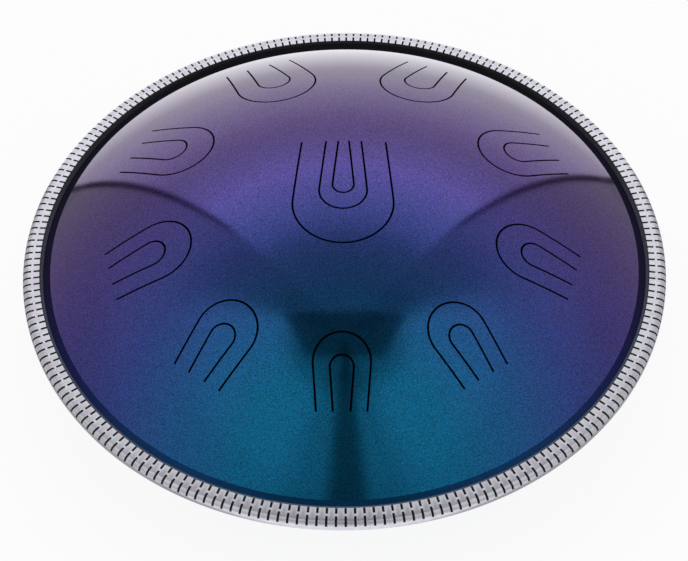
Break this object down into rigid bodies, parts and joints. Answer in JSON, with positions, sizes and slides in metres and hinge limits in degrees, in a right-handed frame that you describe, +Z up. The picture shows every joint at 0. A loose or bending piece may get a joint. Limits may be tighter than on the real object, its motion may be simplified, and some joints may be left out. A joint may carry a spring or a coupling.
{
  "type": "steel tongue drum",
  "caption": "Round steel tongue drum: two painted domes joined at a slotted steel rim, with U-cut flexing tongues in the top, a sound port below and rubber feet to stand on.",
  "frame": {"origin": "on the floor under the drum axis, in the plane of the feet", "axes": "+Z up along the drum axis, -Y towards the smallest note field, which faces the player"},
  "size_m": [0.3999, 0.4, 0.1197],
  "materials": {
    "dome_paint": "gloss clear coat over colour-shift metallic paint, teal to blue to violet",
    "strip_steel": "bright stamped and folded steel strip",
    "liner_rubber": "black extruded rubber",
    "seam_adhesive": "cured adhesive film",
    "foot_rubber": "matt moulded rubber",
    "zinc_steel": "zinc plated"
  },
  "bodies": {
    "drum": {"top_shell": "dome_paint", "bottom_shell": "dome_paint", "rim_trim": "strip_steel", "trim_liner": "liner_rubber", "seam_film": "seam_adhesive", "foot_back_right": "foot_rubber", "foot_back_left": "foot_rubber", "foot_front_left": "foot_rubber", "foot_front_right": "foot_rubber", "foot_screws": "zinc_steel", "foot_washers": "zinc_steel", "nut_washers": "zinc_steel", "foot_nuts": "zinc_steel"},
    "tongue_back_left_outer": {"tongue_back_left_outer": "dome_paint"},
    "tongue_back_left_inner": {"tongue_back_left_inner": "dome_paint"},
    "tongue_back_right_outer": {"tongue_back_right_outer": "dome_paint"},
    "tongue_back_right_inner": {"tongue_back_right_inner": "dome_paint"},
    "tongue_rear_left_outer": {"tongue_rear_left_outer": "dome_paint"},
    "tongue_rear_left_inner": {"tongue_rear_left_inner": "dome_paint"},
    "tongue_rear_right_outer": {"tongue_rear_right_outer": "dome_paint"},
    "tongue_rear_right_inner": {"tongue_rear_right_inner": "dome_paint"},
    "tongue_left_outer": {"tongue_left_outer": "dome_paint"},
    "tongue_left_inner": {"tongue_left_inner": "dome_paint"},
    "tongue_right_outer": {"tongue_right_outer": "dome_paint"},
    "tongue_right_inner": {"tongue_right_inner": "dome_paint"},
    "tongue_front_left_outer": {"tongue_front_left_outer": "dome_paint"},
    "tongue_front_left_inner": {"tongue_front_left_inner": "dome_paint"},
    "tongue_front_right_outer": {"tongue_front_right_outer": "dome_paint"},
    "tongue_front_right_inner": {"tongue_front_right_inner": "dome_paint"},
    "tongue_front_outer": {"tongue_front_outer": "dome_paint"},
    "tongue_front_inner": {"tongue_front_inner": "dome_paint"},
    "tongue_centre_outer": {"tongue_centre_outer": "dome_paint"},
    "tongue_centre_middle": {"tongue_centre_middle": "dome_paint"},
    "tongue_centre_inner": {"tongue_centre_inner": "dome_paint"}
  },
  "joints": [
    {"name": "tongue_back_left_outer_flex", "type": "hinge", "parent": "drum", "child": "tongue_back_left_outer", "pos_m": [-0.05997, 0.14769, 0.07705], "axis": [0.9265, 0.3762, 0], "range_deg": [-1, 1], "stiffness_Nm_per_rad": 36.5},
    {"name": "tongue_back_left_inner_flex", "type": "hinge", "parent": "drum", "child": "tongue_back_left_inner", "pos_m": [-0.05997, 0.14769, 0.07705], "axis": [0.9265, 0.3762, 0], "range_deg": [-1, 1], "stiffness_Nm_per_rad": 28.8},
    {"name": "tongue_back_right_outer_flex", "type": "hinge", "parent": "drum", "child": "tongue_back_right_outer", "pos_m": [0.06272, 0.14493, 0.07788], "axis": [0.9178, -0.3971, 0], "range_deg": [-1, 1], "stiffness_Nm_per_rad": 35.9},
    {"name": "tongue_back_right_inner_flex", "type": "hinge", "parent": "drum", "child": "tongue_back_right_inner", "pos_m": [0.06272, 0.14493, 0.07788], "axis": [0.9178, -0.3971, 0], "range_deg": [-1, 1], "stiffness_Nm_per_rad": 27.9},
    {"name": "tongue_rear_left_outer_flex", "type": "hinge", "parent": "drum", "child": "tongue_rear_left_outer", "pos_m": [-0.13437, 0.06209, 0.0832], "axis": [0.4195, 0.9078, 0], "range_deg": [-1, 1], "stiffness_Nm_per_rad": 37.5},
    {"name": "tongue_rear_left_inner_flex", "type": "hinge", "parent": "drum", "child": "tongue_rear_left_inner", "pos_m": [-0.13437, 0.06209, 0.0832], "axis": [0.4195, 0.9078, 0], "range_deg": [-1, 1], "stiffness_Nm_per_rad": 30.8},
    {"name": "tongue_rear_right_outer_flex", "type": "hinge", "parent": "drum", "child": "tongue_rear_right_outer", "pos_m": [0.13433, 0.05897, 0.08387], "axis": [0.4019, -0.9157, 0], "range_deg": [-1, 1], "stiffness_Nm_per_rad": 36.9},
    {"name": "tongue_rear_right_inner_flex", "type": "hinge", "parent": "drum", "child": "tongue_rear_right_inner", "pos_m": [0.13433, 0.05897, 0.08387], "axis": [0.4019, -0.9157, 0], "range_deg": [-1, 1], "stiffness_Nm_per_rad": 30},
    {"name": "tongue_left_outer_flex", "type": "hinge", "parent": "drum", "child": "tongue_left_outer", "pos_m": [-0.13873, -0.04374, 0.0845], "axis": [-0.3007, 0.9537, 0], "range_deg": [-1, 1], "stiffness_Nm_per_rad": 36.3},
    {"name": "tongue_left_inner_flex", "type": "hinge", "parent": "drum", "child": "tongue_left_inner", "pos_m": [-0.13873, -0.04374, 0.0845], "axis": [-0.3007, 0.9537, 0], "range_deg": [-1, 1], "stiffness_Nm_per_rad": 29.2},
    {"name": "tongue_right_outer_flex", "type": "hinge", "parent": "drum", "child": "tongue_right_outer", "pos_m": [0.13715, -0.04483, 0.08509], "axis": [-0.3107, -0.9505, 0], "range_deg": [-1, 1], "stiffness_Nm_per_rad": 35.6},
    {"name": "tongue_right_inner_flex", "type": "hinge", "parent": "drum", "child": "tongue_right_inner", "pos_m": [0.13715, -0.04483, 0.08509], "axis": [-0.3107, -0.9505, 0], "range_deg": [-1, 1], "stiffness_Nm_per_rad": 28.3},
    {"name": "tongue_front_left_outer_flex", "type": "hinge", "parent": "drum", "child": "tongue_front_left_outer", "pos_m": [-0.08172, -0.11757, 0.08564], "axis": [-0.8211, 0.5707, 0], "range_deg": [-1, 1], "stiffness_Nm_per_rad": 34.9},
    {"name": "tongue_front_left_inner_flex", "type": "hinge", "parent": "drum", "child": "tongue_front_left_inner", "pos_m": [-0.08172, -0.11757, 0.08564], "axis": [-0.8211, 0.5707, 0], "range_deg": [-1, 1], "stiffness_Nm_per_rad": 27.4},
    {"name": "tongue_front_right_outer_flex", "type": "hinge", "parent": "drum", "child": "tongue_front_right_outer", "pos_m": [0.08071, -0.117, 0.08615], "axis": [-0.8231, -0.5678, 0], "range_deg": [-1, 1], "stiffness_Nm_per_rad": 34.3},
    {"name": "tongue_front_right_inner_flex", "type": "hinge", "parent": "drum", "child": "tongue_front_right_inner", "pos_m": [0.08071, -0.117, 0.08615], "axis": [-0.8231, -0.5678, 0], "range_deg": [-1, 1], "stiffness_Nm_per_rad": 26.5},
    {"name": "tongue_front_outer_flex", "type": "hinge", "parent": "drum", "child": "tongue_front_outer", "pos_m": [0, -0.14116, 0.08663], "axis": [-1, 0, 0], "range_deg": [-1, 1], "stiffness_Nm_per_rad": 33.5},
    {"name": "tongue_front_inner_flex", "type": "hinge", "parent": "drum", "child": "tongue_front_inner", "pos_m": [0, -0.14116, 0.08663], "axis": [-1, 0, 0], "range_deg": [-1, 1], "stiffness_Nm_per_rad": 25.5},
    {"name": "tongue_centre_outer_flex", "type": "hinge", "parent": "drum", "child": "tongue_centre_outer", "pos_m": [0, 0.037, 0.11695], "axis": [1, 0, 0], "range_deg": [-1, 1], "stiffness_Nm_per_rad": 29.4},
    {"name": "tongue_centre_middle_flex", "type": "hinge", "parent": "drum", "child": "tongue_centre_middle", "pos_m": [0, 0.037, 0.11695], "axis": [1, 0, 0], "range_deg": [-1, 1], "stiffness_Nm_per_rad": 19.4},
    {"name": "tongue_centre_inner_flex", "type": "hinge", "parent": "drum", "child": "tongue_centre_inner", "pos_m": [0, 0.037, 0.11695], "axis": [1, 0, 0], "range_deg": [-1, 1], "stiffness_Nm_per_rad": 10.4}
  ]
}
